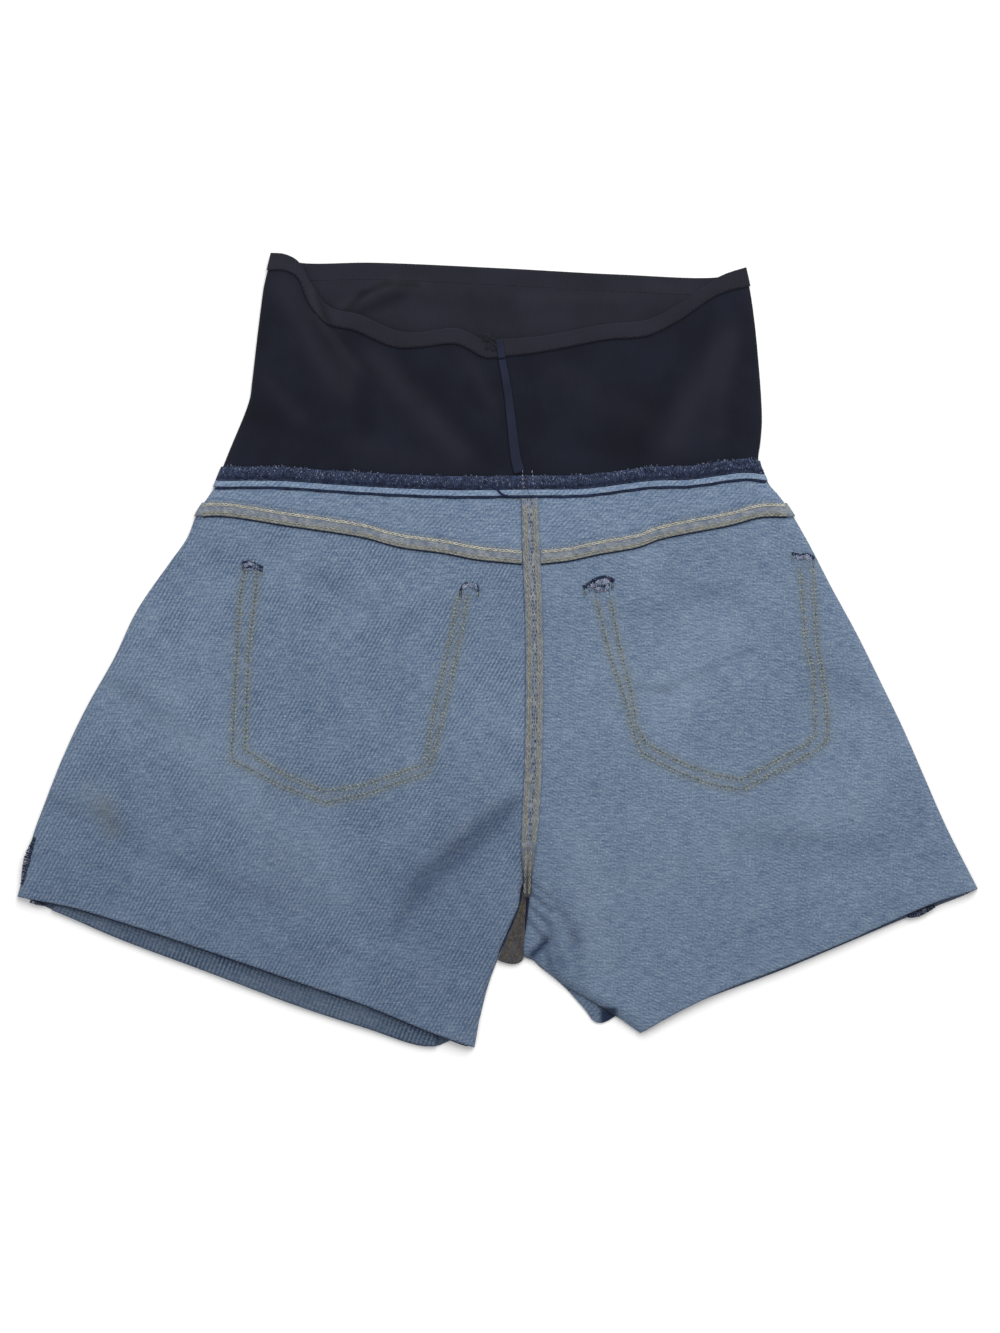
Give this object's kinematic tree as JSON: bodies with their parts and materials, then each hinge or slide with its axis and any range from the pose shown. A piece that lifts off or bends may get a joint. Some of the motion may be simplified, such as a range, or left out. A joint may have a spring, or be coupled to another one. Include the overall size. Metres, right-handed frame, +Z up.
{
  "type": "maternity denim shorts",
  "caption": "Denim shorts with a dark stretch belly panel, turned inside out and laid flat with the seat side up; felled seams, turned-up cuffs and patch pockets inside.",
  "frame": {"origin": "on the surface the shorts lie on, under the middle of the laid-out outline", "axes": "+X to the right as seen from above with the waist away, +Y towards the waist, +Z up from the surface"},
  "size_m": [0.6158, 0.5094, 0.0065],
  "materials": {
    "denim": "matt twill, wrong side out",
    "jersey": "matt dark stretch jersey",
    "jersey_face": "matt charcoal stretch jersey",
    "felled": "felled denim seam with gold stitches",
    "serged": "overlocked edge, navy threads"
  },
  "bodies": {
    "root": {"back_leg_left": "denim", "back_leg_right": "denim", "back_pocket_left": "denim", "back_pocket_right": "denim", "belly_back_left": "jersey", "belly_back_right": "jersey", "belly_centre_seam": "jersey", "belly_front": "jersey_face", "belly_hem_back_left": "jersey_face", "belly_hem_back_right": "jersey_face", "belly_hem_front": "jersey", "centre_back_fell": "felled", "centre_front_fell": "felled", "crotch_fell": "felled", "cuff_back_left": "denim", "cuff_back_right": "denim", "cuff_front_left": "denim", "cuff_front_right": "denim", "front_leg_left": "denim", "front_leg_right": "denim", "front_scoop_allowance": "serged", "inseam_allowance_left": "serged", "inseam_allowance_right": "serged", "side_allowance_left": "serged", "side_allowance_right": "serged", "waist_allowance_left": "denim", "waist_allowance_right": "denim", "waist_serging_left": "serged", "waist_serging_right": "serged", "yoke_fell_left": "felled", "yoke_fell_right": "felled", "yoke_left": "denim", "yoke_right": "denim"}
  },
  "joints": []
}
